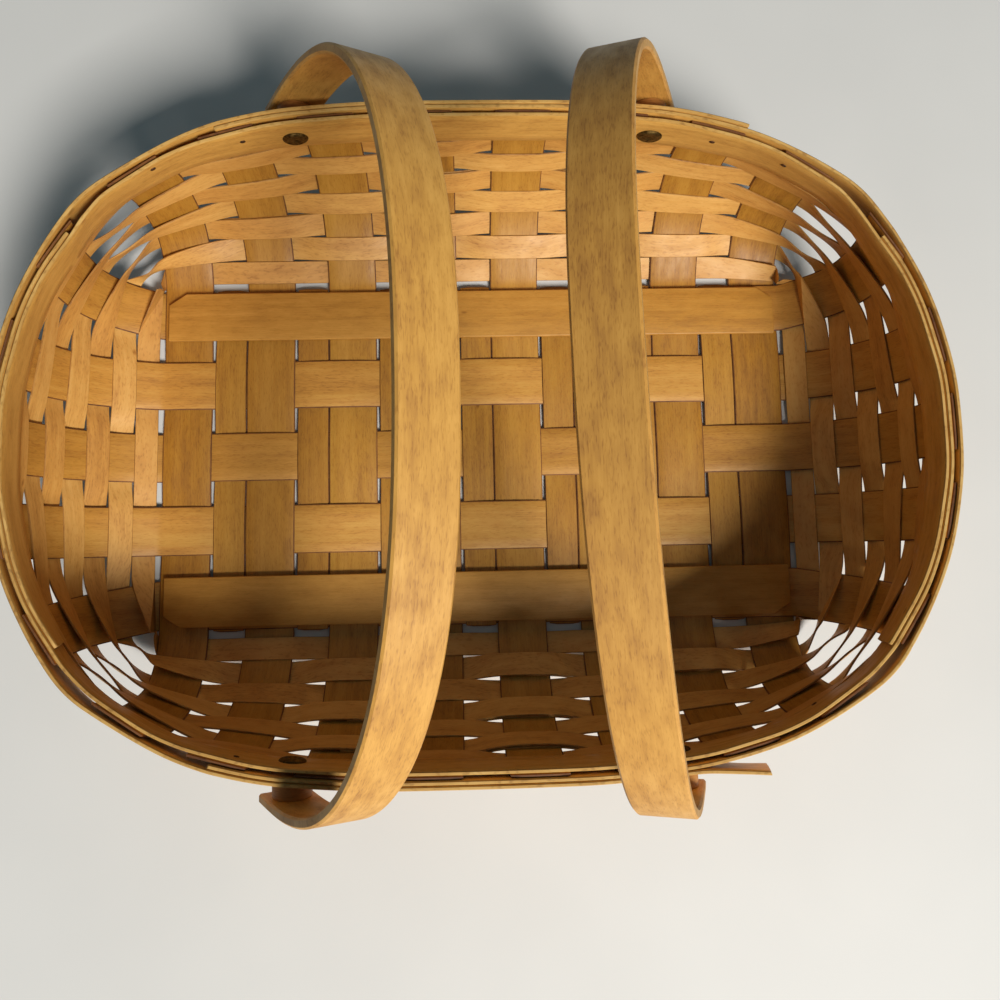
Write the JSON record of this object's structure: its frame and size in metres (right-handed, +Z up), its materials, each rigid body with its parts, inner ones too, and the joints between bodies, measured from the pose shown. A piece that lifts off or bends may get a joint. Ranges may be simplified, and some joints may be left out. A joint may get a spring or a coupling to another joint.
{
  "type": "gathering basket",
  "caption": "Shallow flared splint-woven gathering basket with a double rim and two riveted swing handles, for carrying flowers, vegetables or goods.",
  "frame": {"origin": "on the surface it stands on, under the middle of the floor", "axes": "+Z up, +X along the basket's length with the left handle on -X, +Y across it"},
  "size_m": [0.4222, 0.3142, 0.2139],
  "materials": {
    "stave_ash": "satin",
    "filler_ash": "satin",
    "slat_ash": "satin",
    "weaver_ash": "satin",
    "hoop_ash": "satin",
    "spacer_ash": "satin",
    "handle_ash": "satin",
    "rivet_brass": "antiqued"
  },
  "bodies": {
    "basket": {"crosswise_stave_1": "stave_ash", "crosswise_stave_2": "stave_ash", "crosswise_stave_3": "stave_ash", "crosswise_stave_4": "stave_ash", "crosswise_stave_5": "stave_ash", "crosswise_stave_6": "stave_ash", "crosswise_stave_7": "stave_ash", "crosswise_stave_8": "stave_ash", "lengthwise_stave_1": "stave_ash", "lengthwise_stave_2": "stave_ash", "lengthwise_stave_3": "stave_ash", "lengthwise_stave_4": "stave_ash", "lengthwise_stave_5": "stave_ash", "floor_filler_2": "filler_ash", "floor_filler_3": "filler_ash", "floor_filler_4": "filler_ash", "floor_filler_5": "filler_ash", "floor_filler_6": "filler_ash", "floor_filler_7": "filler_ash", "floor_filler_8": "filler_ash", "floor_slat_far": "slat_ash", "floor_slat_near": "slat_ash", "weaver_row_1": "weaver_ash", "weaver_row_2": "weaver_ash", "weaver_row_3": "weaver_ash", "weaver_row_4": "weaver_ash", "weaver_row_5": "weaver_ash", "weaver_row_6": "weaver_ash", "weaver_row_7": "weaver_ash", "inner_hoop_far": "hoop_ash", "inner_hoop_near": "hoop_ash", "outer_hoop_left": "hoop_ash", "outer_hoop_right": "hoop_ash", "spacer_left_far": "spacer_ash", "rivet_left_far": "rivet_brass", "spacer_left_near": "spacer_ash", "rivet_left_near": "rivet_brass", "spacer_right_far": "spacer_ash", "rivet_right_far": "rivet_brass", "spacer_right_near": "spacer_ash", "rivet_right_near": "rivet_brass"},
    "left_handle": {"left_handle": "handle_ash"},
    "right_handle": {"right_handle": "handle_ash"}
  },
  "joints": [
    {"name": "left_handle_swing", "type": "hinge", "parent": "basket", "child": "left_handle", "pos_m": [-0.081, 0, 0.0805], "axis": [0, 1, 0], "range_deg": [-122.7, 2.3]},
    {"name": "right_handle_swing", "type": "hinge", "parent": "basket", "child": "right_handle", "pos_m": [0.081, 0, 0.0805], "axis": [0, -1, 0], "range_deg": [-114.5, 10.5]}
  ]
}
